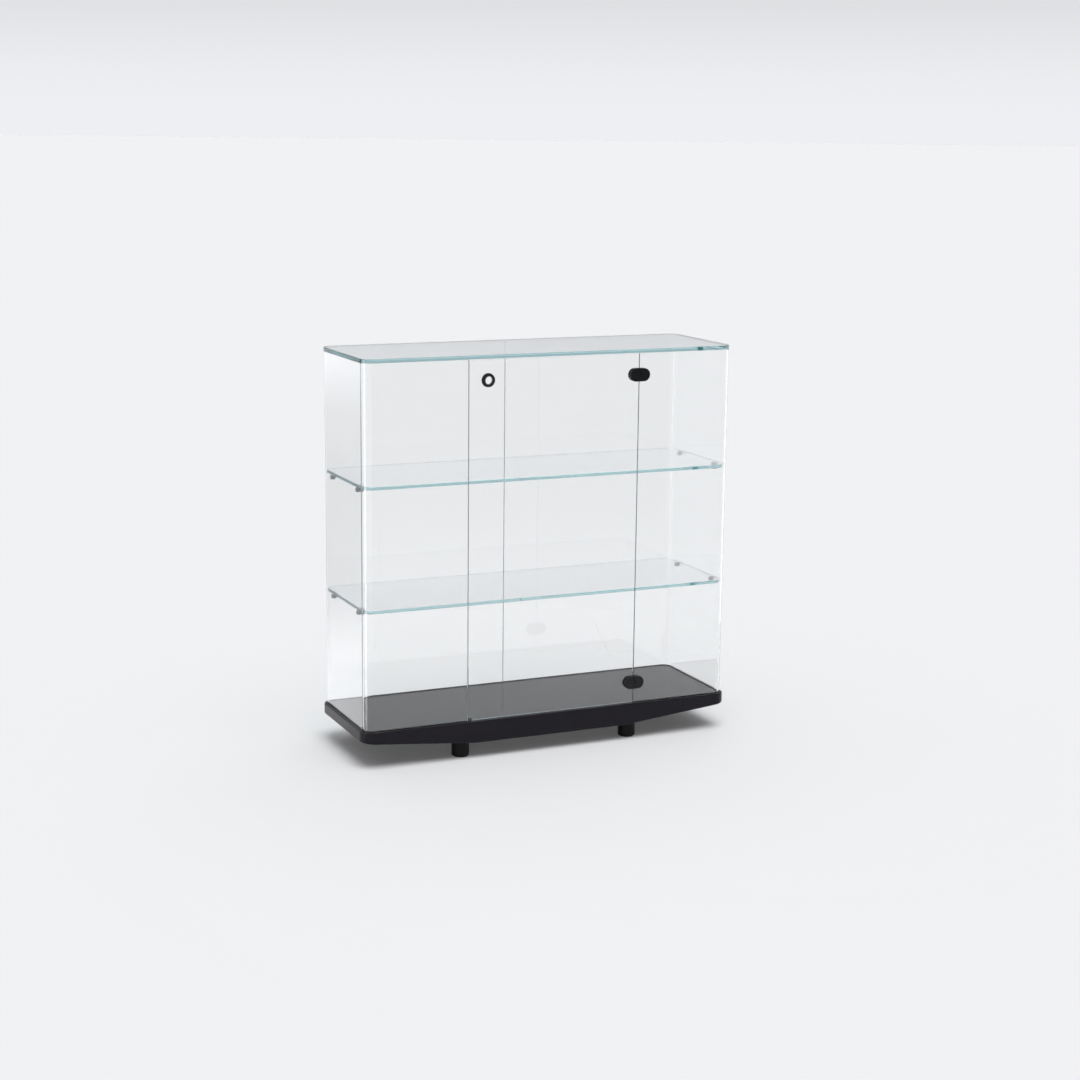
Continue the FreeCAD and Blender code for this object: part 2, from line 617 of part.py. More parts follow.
def make_shelf_pins(name, rise):
    """Four pins bonded to the side glass, each with a soft ring that the shelf rests on."""
    pins, rings = [], []
    ring_radius = "( pin_radius + pin_ring_stand )"
    level = "( %s + %s - shelf_thickness - %s )" % (RIM, rise, ring_radius)
    shoulder = "( ( pin_length - pin_neck_length ) / 2 )"
    for side_name, side in (("left", -1), ("right", 1)):
        start = "0 - " + INNER_HALF_WIDTH if side < 0 else INNER_HALF_WIDTH + " - pin_length"
        for face_name, face in (("front", -1), ("back", 1)):
            tag = "_".join((name, side_name, face_name))
            y = "%d * ( %s - pin_setback )" % (face, INNER_HALF_DEPTH)
            neck_at = start + " + " + shoulder
            outer_end = new_cylinder("pin_outer_" + tag, "pin_radius", shoulder,
                                     (start, y, level), X_AXIS)
            neck = new_cylinder("pin_neck_" + tag, "pin_neck_radius", "pin_neck_length",
                                (neck_at, y, level), X_AXIS)
            inner_end = new_cylinder("pin_inner_" + tag, "pin_radius", shoulder,
                                     (neck_at + " + pin_neck_length", y, level), X_AXIS)
            pins.append(fuse("pin_" + tag, [outer_end, neck, inner_end]))
            band = new_cylinder("ring_band_" + tag, ring_radius,
                                "pin_neck_length - 2 * fit_clearance",
                                (neck_at + " + fit_clearance", y, level), X_AXIS)
            bore = new_cylinder("ring_bore_" + tag, "pin_neck_radius + fit_clearance",
                                "pin_neck_length + 2", (neck_at + " - 1", y, level), X_AXIS)
            rings.append(cut("ring_" + tag, band, bore))
    keep(group("pins_" + name, pins), "shelf_pins_" + name)
    keep(group("rings_" + name, rings), "shelf_rings_" + name)


def make_horizontal_glass():
    make_sheet("top_glass", "( glass_width + 2 * top_overhang )",
               "( glass_depth + 2 * top_overhang )", "( corner_radius + top_overhang )",
               TOP_UNDERSIDE, "top_thickness")
    for name, rise in SHELF_RISES.items():
        make_sheet("shelf_" + name, "( 2 * %s - 2 * shelf_end_gap )" % INNER_HALF_WIDTH,
                   "( 2 * %s - 2 * shelf_face_gap )" % INNER_HALF_DEPTH, "shelf_corner_radius",
                   "( %s + %s - shelf_thickness )" % (RIM, rise), "shelf_thickness")
        make_shelf_pins(name, rise)


# ---- door -----------------------------------------------------------------------------

def make_door_glass():
    body = new_body("door_glass")
    outline = new_sketch(body, "door_outline", "XZ_Plane", HALF_DEPTH)
    foot = "( %s + door_foot_gap )" % RIM
    head = "( %s - door_head_gap )" % TOP_UNDERSIDE
    draw_rounded(outline, "door_width", "%s - %s" % (head, foot), "door_corner_radius",
                 "( %s + door_width / 2 )" % DOOR_FREE_EDGE, "( %s + %s ) / 2" % (head, foot))
    block = pad(body, outline, "glass_wall")
    block.Reversed = True
    doc.recompute()
    holes = [(x, level, "glass_hole_radius") for x, level in screw_places(-1)]
    holes.append((PULL_CENTRE, PULL_LEVEL, "pull_hole_radius"))
    drill_front(body, "door_holes", holes)
    keep(body, "door_glass")


def across_front(name, radius, front, back, x, level):
    """A cylinder front to back between two distances in front of the middle."""
    return new_cylinder(name, radius, "( %s ) - ( %s )" % (front, back), (x, "0 - ( %s )" % front, level),
                        Y_AXIS)


def make_pull():
    outer_face = "( %s + pull_washer + pull_flange )" % HALF_DEPTH
    outer_seat = "( %s + pull_washer )" % HALF_DEPTH
    inner_seat = "( %s - pull_washer )" % INNER_HALF_DEPTH
    inner_face = "( %s - pull_washer - pull_flange )" % INNER_HALF_DEPTH
    at = (PULL_CENTRE, PULL_LEVEL)

    def is_rim(edge):
        return edge.Length > 6.2 * number("pull_radius") and edge.Closed

    flange = across_front("pull_flange_outer", "pull_radius", outer_face, outer_seat, *at)
    flange = soften("pull_flange_outer_soft", flange, "Fillet",
                    lambda edge: is_rim(edge) and edge.BoundBox.YMax < -number(outer_seat) - 1,
                    "pull_edge")
    sleeve = across_front("pull_sleeve", "pull_sleeve_radius", outer_seat + " + 1",
                          inner_face + " + 0.5", *at)
    finger_hole = across_front("pull_finger_hole", "pull_bore_radius", outer_face + " + 1",
                               inner_face + " - 1", *at)
    whole = fuse("pull_outer_solid", [flange, sleeve])
    keep(cut("pull_outer", whole, finger_hole), "pull_ring_outer")

    flange = across_front("pull_flange_inner", "pull_radius", inner_seat, inner_face, *at)
    flange = soften("pull_flange_inner_soft", flange, "Fillet",
                    lambda edge: is_rim(edge) and edge.BoundBox.YMin > -number(inner_face) - 1,
                    "pull_edge")
    bore = across_front("pull_inner_bore", "pull_sleeve_radius + fit_clearance", inner_seat + " + 1",
                        inner_face + " - 1", *at)
    keep(cut("pull_inner", flange, bore), "pull_ring_inner")

    washers = []
    for name, front, back in (("outer", outer_seat, HALF_DEPTH),
                              ("inner", INNER_HALF_DEPTH, inner_seat)):
        disc = across_front("pull_disc_" + name, "pull_radius - 1", front, back, *at)
        hole = across_front("pull_disc_hole_" + name, "pull_sleeve_radius + fit_clearance",
                            front + " + 1", back + " - 1", *at)
        washers.append(cut("pull_washer_" + name, disc, hole))
    keep(group("pull_washer_pair", washers), "pull_washers")


def half_oval(name, side, front, back, setback, margin, level):
    """One half of an oval plate, from setback off the hinge axis to its round end."""
    height = "( hinge_half_height - %s )" % margin
    centre = "( %s + %d * ( hinge_half_width - hinge_half_height ) )" % (HINGE_AXIS, side)
    round_end = across_front(name + "_end", height, front, back, centre, level)
    face = "( %s + %d * %s )" % (HINGE_AXIS, side, setback)
    left, right = (face, centre) if side > 0 else (centre, face)
    straight = new_box(name + "_straight",
                       (left, "0 - ( %s )" % front, "%s - %s" % (level, height)),
                       (right, "0 - ( %s )" % back, "%s + %s" % (level, height)))
    far = "( %s + %d * hinge_half_width * 2 )" % (HINGE_AXIS, side)
    left, right = (face, far) if side > 0 else (far, face)
    window = new_box(name + "_window",
                     (left, "0 - ( %s ) - 1" % front, "%s - 2 * hinge_half_height" % level),
                     (right, "1 - ( %s )" % back, "%s + 2 * hinge_half_height" % level))
    whole = fuse(name + "_whole", [round_end, straight])
    return common(name + "_half", [whole, window])


def bevelled_plate(name, side, front, back, setback, level, proud_face):
    """A half oval plate whose outer rim is bevelled on its proud face."""
    plate = half_oval(name, side, front, back, setback, "0", level)
    doc.recompute()
    at = -number(proud_face)
    axis = number(HINGE_AXIS)
    inside = number(setback) + 0.01

    def on_rim(edge):
        box = edge.BoundBox
        flat = abs(box.YMin - at) < 1e-4 and abs(box.YMax - at) < 1e-4
        return flat and max(abs(box.XMin - axis), abs(box.XMax - axis)) > inside
    return soften(name + "_bevelled", plate, "Chamfer", on_rim, "hinge_edge")


def make_leaf(hinge, level, holder, side, knuckles):
    """The plates, pads and screws on one side of a hinge."""
    name = "hinge_%s_%s" % (hinge, holder)
    pad_front = "( %s + hinge_pad )" % HALF_DEPTH
    pad_back = "( %s - hinge_pad )" % INNER_HALF_DEPTH
    inner_face = "( %s - hinge_pad - hinge_inner_plate )" % INNER_HALF_DEPTH
    x, y = HINGE_AXIS, "0 - " + HINGE_AXIS_DEPTH

    pieces = [bevelled_plate(name + "_outer", side, OUTER_PLATE_FACE, pad_front, "knuckle_relief",
                             level, OUTER_PLATE_FACE)]
    for index, (low, high) in enumerate(knuckles):
        tag = "%s_knuckle_%d" % (name, index)
        foot = "( %s + %s )" % (level, low)
        pieces.append(new_cylinder(tag, "knuckle_radius", "( %s ) - ( %s )" % (high, low),
                                   (x, y, foot)))
        reach = "( %s + %d * ( knuckle_relief + 1 ) )" % (HINGE_AXIS, side)
        left, right = (x, reach) if side > 0 else (reach, x)
        pieces.append(new_box(tag + "_web", (left, "0 - " + OUTER_PLATE_FACE, foot),
                              (right, "0 - " + pad_front, "%s + %s" % (level, high))))
    solid = fuse(name + "_outer_solid", pieces)
    drillings = [new_cylinder(name + "_pin_bore", "hinge_pin_radius + running_clearance",
                              "4 * hinge_half_height", (x, y, level + " - 2 * hinge_half_height"))]
    screws = []
    inner_drillings = []
    screw_x = "( %s + %d * screw_offset_along )" % (HINGE_AXIS, side)
    for tag, up in (("low", -1), ("high", 1)):
        screw_z = "( %s + %d * screw_offset_up )" % (level, up)
        tip = pad_front + " + screw_grip"
        shank = across_front("%s_shank_%s" % (name, tag), "screw_radius", tip, inner_face + " + 1",
                             screw_x, screw_z)
        head = across_front("%s_head_%s" % (name, tag), "screw_head_radius",
                            inner_face + " + screw_head_height", inner_face + " + 0.2",
                            screw_x, screw_z)
        screws.append(fuse("%s_screw_%s" % (name, tag), [shank, head]))
        drillings.append(across_front("%s_thread_%s" % (name, tag),
                                      "screw_radius + running_clearance", tip + " + 0.3",
                                      HALF_DEPTH, screw_x, screw_z))
        inner_drillings.append(across_front("%s_clear_%s" % (name, tag),
                                            "screw_radius + running_clearance", HALF_DEPTH,
                                            inner_face + " - 1", screw_x, screw_z))
        inner_drillings.append(across_front("%s_sink_%s" % (name, tag),
                                            "screw_head_radius + running_clearance",
                                            inner_face + " + screw_head_height",
                                            inner_face + " - 1", screw_x, screw_z))
    keep(cut(name + "_outer_leaf", solid, fuse(name + "_drillings", drillings)), name + "_outer")

    plate = bevelled_plate(name + "_inner", side, pad_back, inner_face, "inner_plate_gap", level,
                           inner_face)
    keep(cut(name + "_inner_leaf", plate, fuse(name + "_inner_drillings", inner_drillings)),
         name + "_inner")

    pads = []
    for tag, front, back in (("front", pad_front, HALF_DEPTH), ("back", INNER_HALF_DEPTH, pad_back)):
        sheet = half_oval("%s_pad_%s" % (name, tag), side, front, back, "knuckle_relief",
                          "hinge_edge", level)
        holes = [across_front("%s_pad_hole_%s_%s" % (name, tag, up_name), "glass_hole_radius",
                              front + " + 1", back + " - 1", screw_x,
                              "( %s + %d * screw_offset_up )" % (level, up))
                 for up_name, up in (("low", -1), ("high", 1))]
        pads.append(cut("%s_pad_cut_%s" % (name, tag), sheet,
                        fuse("%s_pad_holes_%s" % (name, tag), holes)))
    keep(group(name + "_pad_pair", pads), name + "_pads")
    keep(group(name + "_screw_pair", screws), name + "_screws")


def make_hinges():
    """Each hinge: a fixed leaf with the two outer knuckles and a door leaf between them."""
    clear = "( knuckle_half_length + knuckle_end_gap )"
    fixed_knuckles = [("0 - hinge_half_height", "0 - " + clear), (clear, "hinge_half_height")]
    door_knuckles = [("0 - knuckle_half_length", "knuckle_half_length")]
    for hinge, level in HINGE_LEVELS.items():
        make_leaf(hinge, level, "fixed", 1, fixed_knuckles)
        make_leaf(hinge, level, "door", -1, door_knuckles)
        pin = new_cylinder("hinge_pin_" + hinge, "hinge_pin_radius", "2 * hinge_half_height - 1",
                           (HINGE_AXIS, "0 - " + HINGE_AXIS_DEPTH,
                            level + " - hinge_half_height + 0.5"))
        keep(pin, "hinge_%s_pin" % hinge)


def make_door_stop():
    """A block on the deck behind the free corner of the door, with a soft buffer."""
    left = "( %s + stop_inset )" % DOOR_FREE_EDGE
    front = "( %s - bumper_gap - bumper_thickness )" % INNER_HALF_DEPTH
    block = new_box("stop_block", (left, "0 - " + front, RIM),
                    (left + " + stop_width", "stop_depth - " + front, RIM + " + stop_height"))

    def is_upper(edge):
        return edge.BoundBox.ZMin > number(RIM) + 1 and edge.BoundBox.YMin > -number(front) + 0.5
    keep(soften("stop_soft", block, "Chamfer", is_upper, "deck_edge"), "door_stop")
    bumper = across_front("stop_bumper", "bumper_radius", front + " + bumper_thickness", front,
                          left + " + stop_width / 2", RIM + " + stop_height / 2")
    keep(bumper, "door_stop_buffer")


make_base_hull()
make_deck()
make_feet()
make_case()
make_horizontal_glass()
make_door_glass()
make_pull()
make_hinges()
make_door_stop()
doc.removeObject(probe.Name)
doc.recompute()

for item in doc.Objects:
    if "Invalid" in item.State or "Error" in item.State:
        raise ValueError("%s failed: %s" % (item.Name, item.State))
for item in sub_parts:
    if item.Shape.isNull() or not item.Shape.isValid() or item.Shape.Volume <= 0:
        raise ValueError(item.Label + " has no valid shape")

os.makedirs("parts", exist_ok=True)
for item in sub_parts:
    item.Shape.exportStep("parts/" + item.Label + ".step")
print(len(sub_parts), "sub-parts written")
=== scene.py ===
# Glass showcase on a low dark base. The frame holds every part, and this script gives it its looks.
import json
import math
from fnmatch import fnmatch

import bmesh
import bpy
from mathutils import Matrix, Vector

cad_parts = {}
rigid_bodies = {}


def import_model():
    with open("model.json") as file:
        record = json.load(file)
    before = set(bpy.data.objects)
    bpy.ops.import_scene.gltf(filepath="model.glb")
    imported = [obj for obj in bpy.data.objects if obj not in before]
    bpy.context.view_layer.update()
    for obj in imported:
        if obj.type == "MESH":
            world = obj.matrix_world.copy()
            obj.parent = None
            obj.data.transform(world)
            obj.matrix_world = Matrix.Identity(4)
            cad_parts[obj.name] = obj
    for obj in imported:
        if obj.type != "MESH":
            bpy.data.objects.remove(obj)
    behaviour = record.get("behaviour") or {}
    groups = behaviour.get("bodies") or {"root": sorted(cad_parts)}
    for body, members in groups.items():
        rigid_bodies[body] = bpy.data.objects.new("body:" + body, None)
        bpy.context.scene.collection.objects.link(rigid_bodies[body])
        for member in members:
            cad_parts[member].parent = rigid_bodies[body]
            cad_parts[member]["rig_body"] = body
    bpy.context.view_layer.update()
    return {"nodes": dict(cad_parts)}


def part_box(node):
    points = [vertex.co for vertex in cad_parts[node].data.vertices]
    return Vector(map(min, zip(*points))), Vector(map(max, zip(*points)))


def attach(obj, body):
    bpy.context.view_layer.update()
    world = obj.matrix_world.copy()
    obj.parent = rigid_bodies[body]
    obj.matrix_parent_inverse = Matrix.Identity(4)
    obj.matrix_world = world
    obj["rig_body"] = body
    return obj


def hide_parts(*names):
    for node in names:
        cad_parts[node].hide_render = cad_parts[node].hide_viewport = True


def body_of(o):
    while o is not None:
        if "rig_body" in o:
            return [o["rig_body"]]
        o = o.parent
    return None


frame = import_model()
print("frame loaded:", len(frame["nodes"]), "parts")


# helpers

def addObject(name, data):
    thing = bpy.data.objects.new(name, data)
    bpy.context.scene.collection.objects.link(thing)
    return thing


def addNode(tree, kind, settings=None, **values):
    node = tree.nodes.new(kind)
    for key, value in (settings or {}).items():
        setattr(node, key, value)
    for key, value in values.items():
        node.inputs[key.replace("_", " ")].default_value = value
    return node


def addMath(tree, operation, *values):
    # each value is a number or another node's output
    node = addNode(tree, "ShaderNodeMath", {"operation": operation})
    for socket, value in zip(node.inputs, values):
        if isinstance(value, bpy.types.NodeSocket):
            tree.links.new(value, socket)
        else:
            socket.default_value = value
    return node.outputs[0]


def addStops(ramp, steps, brightest):
    # one stop for each place and brightness, in the tint of the sky
    stops = ramp.color_ramp.elements
    for index, (place, level) in enumerate(steps):
        between = 0 < index < len(steps) - 1
        stop = stops.new(place) if between else stops[0 if index == 0 else -1]
        stop.position = place
        stop.color = (*(level / brightest * part for part in studio["skyTint"]), 1)


def boxOf(node):
    low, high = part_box(node)
    return Vector(low), Vector(high)


# camera

view = {
    "place": (-2.6965, -6.0775, 2.0032),
    "yaw": 24.284,    # degrees, turned from +Y towards +X
    "pitch": 11.469,  # degrees, looking down
    "roll": 0.616,
    "lens": 69.16,
    "sensor": 36,
    "reach": 200,     # how far the camera sees
}


def addCamera():
    yaw, pitch, roll = (math.radians(view[key]) for key in ("yaw", "pitch", "roll"))
    level = Vector((math.sin(yaw), math.cos(yaw), 0))
    ahead = level * math.cos(pitch) - Vector((0, 0, math.sin(pitch)))
    right = Vector((math.cos(yaw), -math.sin(yaw), 0))
    up = right.cross(ahead)
    tiltedRight = right * math.cos(roll) + up * math.sin(roll)
    tiltedUp = up * math.cos(roll) - right * math.sin(roll)
    data = bpy.data.cameras.new("camera")
    data.sensor_width = view["sensor"]
    data.lens = view["lens"]
    data.clip_end = view["reach"]
    camera = addObject("camera", data)
    turn = Matrix((tiltedRight, tiltedUp, -ahead)).transposed().to_4x4()
    camera.matrix_world = Matrix.Translation(view["place"]) @ turn
    bpy.context.scene.camera = camera


# studio

studio = {
    "floorSize": 400,
    "floorColour": (0.34, 0.341, 0.345),
    "floorRoughness": 0.9,
    "sky": [                              # sine of the height above the horizon, brightness
        (0.00, 0.88), (0.10, 0.66), (0.15, 0.88), (0.21, 0.80), (0.262, 0.47),
        (0.34, 0.26), (0.50, 0.38), (0.75, 1.00), (1.00, 1.20),
    ],
    "skyBrightest": 2,
    "skyTint": (0.975, 0.982, 1.010),
    "leftGlow": 0.10,                     # added on the left and left rear
    "glowFrom": (-0.93, 0.25, 0.26),
    "glowSpan": (0.25, 0.95),             # cosine of the angle to it where it starts and is full
    "suns": {
        "softSun": {"towards": (-0.35, -0.45, -1.0), "spread": 50, "strength": 0.55,
                    "floorOnly": False, "shadow": True},
        "floorSun": {"towards": (0.04, 0.42, -1.0), "spread": 40, "strength": 4.75,
                     "floorOnly": True, "shadow": True},
        "floorFill": {"towards": (0, 0, -1.0), "spread": 10, "strength": 0.7,
                      "floorOnly": True, "shadow": False},
    },
}


def addFloor():
    half = studio["floorSize"] / 2
    mesh = bpy.data.meshes.new("floor")
    corners = [(-half, -half, 0), (half, -half, 0), (half, half, 0), (-half, half, 0)]
    mesh.from_pydata(corners, [], [(0, 1, 2, 3)])
    floor = addObject("floor", mesh)
    material, shader, output = newMaterial("paleFloor")
    shader.inputs["Base Color"].default_value = (*studio["floorColour"], 1)
    shader.inputs["Roughness"].default_value = studio["floorRoughness"]
    shader.inputs["Specular IOR Level"].default_value = 0.0
    mesh.materials.append(material)
    return floor


def addSuns(floor):
    lit = bpy.data.collections.new("litFloor")
    lit.objects.link(floor)
    for name, given in studio["suns"].items():
        data = bpy.data.lights.new(name, "SUN")
        data.angle = math.radians(given["spread"])
        data.energy = given["strength"]
        data.use_shadow = given["shadow"]
        sun = addObject(name, data)
        sun.rotation_euler = Vector(given["towards"]).to_track_quat("-Z", "Y").to_euler()
        if given["floorOnly"]:
            sun.light_linking.receiver_collection = lit


def addSky():
    world = bpy.data.worlds.new("studioSky")
    bpy.context.scene.world = world
    world.use_nodes = True
    tree = world.node_tree
    link = tree.links.new
    place = addNode(tree, "ShaderNodeTexCoord")
    split = addNode(tree, "ShaderNodeSeparateXYZ")
    ramp = addNode(tree, "ShaderNodeValToRGB")
    ramp.color_ramp.interpolation = "EASE"
    addStops(ramp, studio["sky"], studio["skyBrightest"])
    start, full = studio["glowSpan"]
    glow = addNode(tree, "ShaderNodeMapRange", {"interpolation_type": "SMOOTHSTEP"},
                   From_Min=start, From_Max=full, To_Max=studio["leftGlow"])
    turned = addNode(tree, "ShaderNodeVectorMath", {"operation": "DOT_PRODUCT"})
    turned.inputs[1].default_value = Vector(studio["glowFrom"]).normalized()
    total = addNode(tree, "ShaderNodeVectorMath", {"operation": "MULTIPLY_ADD"})
    total.inputs[1].default_value = [studio["skyBrightest"]] * 3
    link(place.outputs["Generated"], split.inputs[0])
    link(place.outputs["Generated"], turned.inputs[0])
    link(split.outputs["Z"], ramp.inputs["Fac"])
    link(turned.outputs["Value"], glow.inputs["Value"])
    link(ramp.outputs["Color"], total.inputs[0])
    link(glow.outputs[0], total.inputs[2])
    link(total.outputs[0], tree.nodes["Background"].inputs["Color"])


# boards that only mirror images show: centre, the way they face, width and height, how much of the
# half width fades out, and brightness from the foot to the head

boards = {
    "leftRearBoard": {"place": (-0.80, 0.256, 0.70), "faces": (0.41, -0.91, 0),
                      "size": (0.30, 1.40), "fade": 0.0,
                      "glow": [(0.00, 1.25), (0.12, 1.20), (0.19, 1.08), (0.34, 0.60), (0.63, 0.60),
                               (0.76, 0.72), (0.82, 0.92), (0.89, 1.22), (1.00, 1.30)]},
    "frontBoard": {"place": (0.50, -1.35, 0.75), "faces": (-0.41, 0.91, 0),
                   "size": (3.0, 1.70), "fade": 0.25,
                   "glow": [(0.00, 0.85), (0.15, 0.75), (0.40, 0.45), (1.00, 0.48)]},
    "leftBoard": {"place": (-0.96, -0.20, 0.70), "faces": (1, 0, 0),
                  "size": (0.19, 1.40), "fade": 0.6, "glow": [(0, 3.5), (1, 3.5)]},
    "rightBoard": {"place": (1.98, 0.43, 0.60), "faces": (-0.90, -0.42, 0),
                   "size": (0.30, 1.60), "fade": 0.6, "glow": [(0, 2.2), (1, 2.2)]},
}
boardLook = {
    "brightest": 4,
    "endFade": 0.1,        # of the half height, on boards that fade
    "mirrorDepth": 0.5,    # mirror bounces before a board shows
}


def makeShine(name, board):
    halfWidth, halfHeight = (side / 2 for side in board["size"])
    shine = bpy.data.materials.new(name)
    shine.use_nodes = True
    tree = shine.node_tree
    tree.nodes.clear()
    link = tree.links.new
    spot = addNode(tree, "ShaderNodeTexCoord")
    split = addNode(tree, "ShaderNodeSeparateXYZ")
    rise = addNode(tree, "ShaderNodeMapRange", From_Min=-halfHeight, From_Max=halfHeight)
    ramp = addNode(tree, "ShaderNodeValToRGB")
    addStops(ramp, board["glow"], boardLook["brightest"])
    glow = addNode(tree, "ShaderNodeEmission", Strength=boardLook["brightest"])
    route = addNode(tree, "ShaderNodeLightPath")
    unseen = addNode(tree, "ShaderNodeBsdfTransparent")
    mix = addNode(tree, "ShaderNodeMixShader")
    output = addNode(tree, "ShaderNodeOutputMaterial")
    link(spot.outputs["Object"], split.inputs[0])
    link(split.outputs["Y"], rise.inputs["Value"])
    link(rise.outputs[0], ramp.inputs["Fac"])
    link(ramp.outputs["Color"], glow.inputs["Color"])
    shown = addMath(tree, "GREATER_THAN", route.outputs["Glossy Depth"], boardLook["mirrorDepth"])
    edges = [("X", halfWidth, board["fade"]), ("Y", halfHeight, boardLook["endFade"])]
    for axis, reach, fade in edges if board["fade"] else []:
        soften = addNode(tree, "ShaderNodeMapRange", {"interpolation_type": "SMOOTHSTEP"},
                         From_Min=reach * (1 - fade), From_Max=reach, To_Min=1, To_Max=0)
        link(addMath(tree, "ABSOLUTE", split.outputs[axis]), soften.inputs["Value"])
        shown = addMath(tree, "MULTIPLY", shown, soften.outputs[0])
    link(shown, mix.inputs[0])
    link(unseen.outputs[0], mix.inputs[1])
    link(glow.outputs[0], mix.inputs[2])
    link(mix.outputs[0], output.inputs["Surface"])
    return shine


def addBoards():
    for name, board in boards.items():
        halfWidth, halfHeight = (side / 2 for side in board["size"])
        mesh = bpy.data.meshes.new(name)
        mesh.from_pydata([(-halfWidth, -halfHeight, 0), (halfWidth, -halfHeight, 0),
                          (halfWidth, halfHeight, 0), (-halfWidth, halfHeight, 0)], [], [(0, 1, 2, 3)])
        mesh.materials.append(makeShine(name, board))
        sheet = addObject(name, mesh)
        sheet.location = board["place"]
        sheet.rotation_euler = Vector(board["faces"]).to_track_quat("Z", "Y").to_euler()
        sheet.visible_camera = False
        sheet.visible_diffuse = False
        sheet.visible_shadow = False
        sheet.visible_volume_scatter = False
    print("boards placed:", len(boards))


# finishes: two colours that a cloud mixes, and the lowest and highest roughness

plastics = {
    "baseLacquer": {"colours": ((0.0072, 0.0056, 0.0100), (0.0095, 0.0075, 0.0130)),
                    "roughness": (0.30, 0.36), "grain": 900, "height": 0.00003,
                    "specular": 0.14, "coat": 0.10, "coatRoughness": 0.10},
    "deckLacquer": {"colours": ((0.016, 0.016, 0.017), (0.020, 0.020, 0.021)),
                    "roughness": (0.16, 0.20), "grain": 1200, "height": 0.00002},
    "rubberBlack": {"colours": ((0.012, 0.012, 0.012), (0.018, 0.018, 0.018)),
                    "roughness": (0.50, 0.65), "grain": 700, "height": 0.00005},
    "ringRubber": {"colours": ((0.012, 0.012, 0.012), (0.018, 0.018, 0.018)),
                   "roughness": (0.50, 0.65), "grain": 700, "height": 0.00005},
    # the dark strip at the deck's edge, painted shade for the gap between deck and glass
    "gapShadeBlack": {"colours": ((0.010, 0.010, 0.010), (0.015, 0.015, 0.015)),
                   "roughness": (0.55, 0.70), "grain": 700, "height": 0.00005},
    "footBlack": {"colours": ((0.004, 0.004, 0.0045), (0.006, 0.006, 0.0065)),
                  "roughness": (0.36, 0.46), "grain": 800, "height": 0.00004, "specular": 0.15},
    "clearSeal": {"colours": ((0.62, 0.66, 0.66), (0.70, 0.73, 0.73)),
                  "roughness": (0.30, 0.40), "grain": 500, "height": 0.00002},
}
metals = {                 # the stretch draws the grain out into brushed lines
    "pinMetal": {"colours": ((0.030, 0.031, 0.033), (0.045, 0.046, 0.049)),
                 "roughness": (0.20, 0.30), "grain": 700, "stretch": (10, 1, 1)},
    "screwSteel": {"colours": ((0.20, 0.20, 0.21), (0.27, 0.27, 0.28)),
                   "roughness": (0.26, 0.36), "grain": 800, "stretch": (1, 1, 8)},
    "pullSteel": {"colours": ((0.028, 0.027, 0.030), (0.038, 0.037, 0.040)),
                  "roughness": (0.30, 0.40), "grain": 900, "stretch": (1, 1, 12)},
    "darkSteel": {"colours": ((0.026, 0.025, 0.028), (0.036, 0.035, 0.038)),
                  "roughness": (0.34, 0.44), "grain": 900, "stretch": (1, 1, 12)},
    "brightSteel": {"colours": ((0.55, 0.55, 0.56), (0.66, 0.66, 0.67)),
                    "roughness": (0.20, 0.32), "grain": 600, "stretch": (1, 1, 10)},
    "brass": {"colours": ((0.70, 0.52, 0.24), (0.80, 0.60, 0.30)),
              "roughness": (0.25, 0.40), "grain": 600, "stretch": (1, 1, 6)},
}
cloud = {
    "scale": 14,
    "mixSpan": (0.35, 0.65),    # where the first colour ends and the second starts
    "bump": 0.4,
    "lineBump": 0.25,           # brushed metal
    "lineHeight": 0.00003,
}
glassLook = {
    "bend": 1.52,                     # index of refraction
    "tint": (0.40, 0.715, 0.735),     # colour left after the glass takes its part
    "depth": 3.0,                     # how strongly a metre of glass tints
    "shadow": (0.992, 0.996, 0.996),  # what a shadow ray keeps at each face
}


def newMaterial(name):
    material = bpy.data.materials.new(name)
    material.use_nodes = True
    tree = material.node_tree
    tree.nodes.clear()
    output = addNode(tree, "ShaderNodeOutputMaterial")
    shader = addNode(tree, "ShaderNodeBsdfPrincipled")
    tree.links.new(shader.outputs[0], output.inputs["Surface"])
    return material, shader, output


def addNoise(tree, scale, detail, stretch=(1, 1, 1)):
    place = addNode(tree, "ShaderNodeTexCoord")
    mapping = addNode(tree, "ShaderNodeMapping", Scale=stretch)
    noise = addNode(tree, "ShaderNodeTexNoise", Scale=scale, Detail=detail)
    tree.links.new(place.outputs["Object"], mapping.inputs["Vector"])
    tree.links.new(mapping.outputs[0], noise.inputs["Vector"])
    return noise.outputs["Fac"]


def addBump(tree, shader, source, strength, distance):
    bump = addNode(tree, "ShaderNodeBump", Strength=strength, Distance=distance)
    tree.links.new(source, bump.inputs["Height"])
    tree.links.new(bump.outputs[0], shader.inputs["Normal"])


def addSpread(tree, shader, source, roughness):
    low, high = roughness
    spread = addNode(tree, "ShaderNodeMapRange", To_Min=low, To_Max=high)
    tree.links.new(source, spread.inputs["Value"])
    tree.links.new(spread.outputs[0], shader.inputs["Roughness"])


def addColours(tree, shader, source, colours):
    ramp = addNode(tree, "ShaderNodeValToRGB")
    for stop, place, colour in zip(ramp.color_ramp.elements, cloud["mixSpan"], colours):
        stop.position = place
        stop.color = (*colour, 1)
    tree.links.new(source, ramp.inputs["Fac"])
    tree.links.new(ramp.outputs[0], shader.inputs["Base Color"])


def makePlastic(name):
    look = plastics[name]
    material, shader, output = newMaterial(name)
    tree = material.node_tree
    patches = addNoise(tree, cloud["scale"], 3)
    addColours(tree, shader, patches, look["colours"])
    addSpread(tree, shader, patches, look["roughness"])
    addBump(tree, shader, addNoise(tree, look["grain"], 2), cloud["bump"], look["height"])
    for key, label in (("specular", "Specular IOR Level"), ("coat", "Coat Weight"),
                       ("coatRoughness", "Coat Roughness")):
        if key in look:
            shader.inputs[label].default_value = look[key]
    return material


